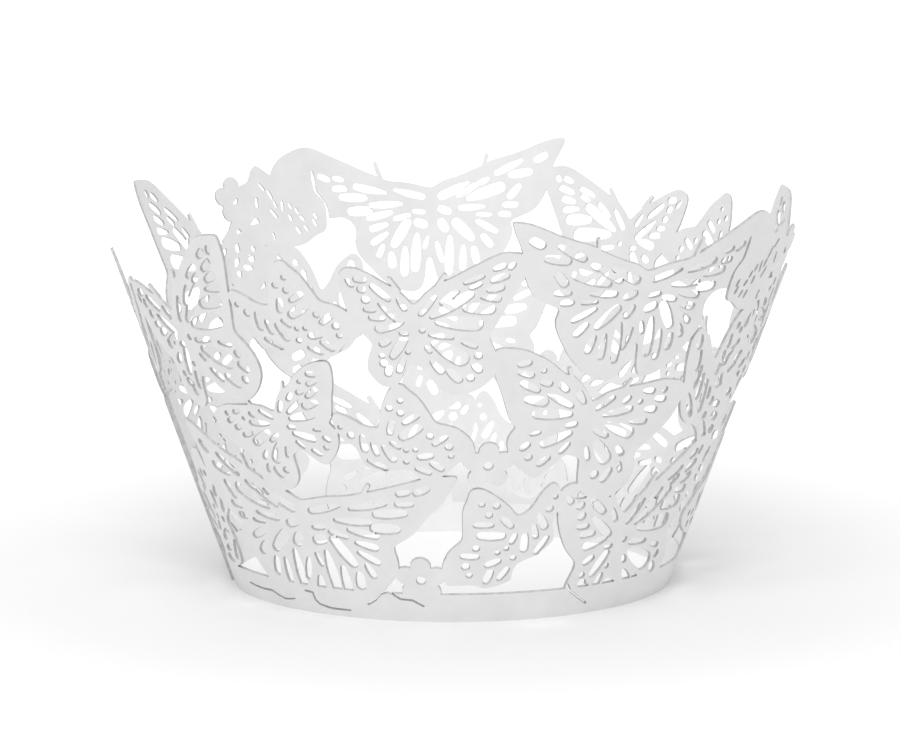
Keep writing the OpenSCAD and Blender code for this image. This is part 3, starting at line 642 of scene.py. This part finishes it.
def pearl_card():
    """White card with a mica coat: it has a soft satin glow, a faint cloudiness and a fine tooth."""
    m = new_material("pearl_card")
    where = add_node(m, "ShaderNodeTexCoord")
    # The pulp is a little cloudy, in patches of about 4 mm
    cloud = add_node(m, "ShaderNodeTexNoise", {"Vector": where.outputs["Object"]},
                     in_Scale=250, in_Detail=3, in_Roughness=0.6)
    tint = add_node(m, "ShaderNodeValToRGB", {"Fac": cloud.outputs["Fac"]})
    tint.color_ramp.elements[0].position = 0.3
    tint.color_ramp.elements[0].color = shade("#EAEAEA")
    tint.color_ramp.elements[1].position = 0.7
    tint.color_ramp.elements[1].color = shade("#F1F1F1")
    # Fibres are about 0.05 mm thick: they are drawn at 0.2 mm, so that they show
    tooth = add_node(m, "ShaderNodeTexNoise", {"Vector": where.outputs["Object"]},
                     in_Scale=5000, in_Detail=2, in_Roughness=0.5)
    bump = add_node(m, "ShaderNodeBump", {"Height": tooth.outputs["Fac"]},
                    in_Strength=0.25, in_Distance=0.03 * MM)
    skin = add_node(m, "ShaderNodeBsdfPrincipled",
                    {"Base Color": tint.outputs["Color"], "Normal": bump.outputs["Normal"]},
                    in_Roughness=0.48, in_Coat_Weight=0.12, in_Coat_Roughness=0.35)
    add_node(m, "ShaderNodeOutputMaterial", {"Surface": skin.outputs["BSDF"]})
    return m


def burnt_edge():
    """Card cut by laser: the cut wall is singed to a matt grey, uneven along its length."""
    m = new_material("burnt_edge")
    where = add_node(m, "ShaderNodeTexCoord")
    # The beam's pulses leave darker spots about 0.7 mm apart
    pulse = add_node(m, "ShaderNodeTexNoise", {"Vector": where.outputs["Object"]},
                     in_Scale=1400, in_Detail=2)
    tint = add_node(m, "ShaderNodeValToRGB", {"Fac": pulse.outputs["Fac"]})
    tint.color_ramp.elements[0].position = 0.35
    tint.color_ramp.elements[0].color = shade("#BEBEBE")
    tint.color_ramp.elements[1].position = 0.7
    tint.color_ramp.elements[1].color = shade("#D4D4D4")
    skin = add_node(m, "ShaderNodeBsdfPrincipled", {"Base Color": tint.outputs["Color"]},
                    in_Roughness=0.8)
    add_node(m, "ShaderNodeOutputMaterial", {"Surface": skin.outputs["BSDF"]})
    return m


def white_table():
    """Matt white laminate: it takes the shadow, and the rest of it shows as the photograph's white."""
    m = new_material("white_table")
    seen = add_node(m, "ShaderNodeLightPath")
    where = add_node(m, "ShaderNodeTexCoord")
    away = add_node(m, "ShaderNodeVectorMath", {0: where.outputs["Object"]}, operation="LENGTH")
    # Seen by the camera, the table gets painted light: a glow that grows between 50 mm and 180 mm from
    # the wrapper's axis and turns the far table pure white
    painted_glow_ramp = add_node(m, "ShaderNodeMapRange", {"Value": away.outputs["Value"]},
                    in_From_Min=50 * MM, in_From_Max=180 * MM, in_To_Min=0.03, in_To_Max=0.42)
    lift = add_node(m, "ShaderNodeMath", {0: seen.outputs["Is Camera Ray"], 1: painted_glow_ramp.outputs["Result"]},
                    operation="MULTIPLY")
    skin = add_node(m, "ShaderNodeBsdfDiffuse", in_Color=shade("#F8F8F8"))
    # Painted light: the table glows for the camera, more the farther it lies from the wrapper
    glow = add_node(m, "ShaderNodeEmission", {"Strength": lift.outputs["Value"]},
                    in_Color=shade("#FFFFFF"))
    both = add_node(m, "ShaderNodeAddShader", {0: skin.outputs["BSDF"], 1: glow.outputs["Emission"]})
    add_node(m, "ShaderNodeOutputMaterial", {"Surface": both.outputs["Shader"]})
    return m


def white_room():
    """Light from all round at a plain level, and pure white where the camera sees it."""
    world = bpy.data.worlds.new("white_room")
    world.use_nodes = True
    world.node_tree.nodes.clear()
    seen = add_node(world, "ShaderNodeLightPath")
    level = add_node(world, "ShaderNodeMapRange", {"Value": seen.outputs["Is Camera Ray"]},
                     in_To_Min=0.595, in_To_Max=1.0)
    sky = add_node(world, "ShaderNodeBackground", {"Strength": level.outputs["Result"]},
                   in_Color=shade("#FFFFFF"))
    add_node(world, "ShaderNodeOutputWorld", {"Surface": sky.outputs["Background"]})
    bpy.context.scene.world = world


def soft_lamp(name, place, size, watts):
    """A round soft lamp, aimed at the middle of the wrapper."""
    lamp = bpy.data.lights.new(name, "AREA")
    lamp.shape = "DISK"
    lamp.size = size
    lamp.energy = watts
    holder = bpy.data.objects.new(name, lamp)
    holder.location = place
    aim = Vector((0, 0, 20 * MM))
    holder.rotation_euler = (aim - holder.location).to_track_quat("-Z", "Y").to_euler()
    bpy.context.scene.collection.objects.link(holder)


def set_camera():
    """The photograph's viewing angle: a long lens, a little above the rim."""
    lens = bpy.data.cameras.new("camera")
    lens.sensor_width = 36
    lens.lens = 175.7
    lens.clip_start = 0.05
    lens.clip_end = 20
    camera = bpy.data.objects.new("camera", lens)
    camera.location = (-0.00008, -0.49064, 0.10384)
    aim = Vector((-0.00008, 0, 0.02385))
    camera.rotation_euler = (aim - camera.location).to_track_quat("-Z", "Y").to_euler()
    bpy.context.scene.collection.objects.link(camera)
    bpy.context.scene.camera = camera


set_camera()

mesh = build_wrapper()
mesh.materials.append(pearl_card())
mesh.materials.append(burnt_edge())
wrapper = bpy.data.objects.new("butterfly_wrapper", mesh)
bpy.context.scene.collection.objects.link(wrapper)
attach(wrapper, "root")
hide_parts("wrapper")

table_mesh = bpy.data.meshes.new("table_top")
# Half the table's width, in metres: its edges are never in view
far_off = 4
table_mesh.from_pydata([(-far_off, -far_off, 0), (far_off, -far_off, 0),
                        (far_off, far_off, 0), (-far_off, far_off, 0)], [], [(0, 1, 2, 3)])
table_mesh.materials.append(white_table())
table_top = bpy.data.objects.new("table_top", table_mesh)
bpy.context.scene.collection.objects.link(table_top)

white_room()
soft_lamp("key_light", (-0.12, -1.0, 1.25), 1.1, 9.2)
soft_lamp("top_light", (0, 0.25, 1.5), 1.2, 3.8)

bpy.context.scene.view_settings.view_transform = "Standard"
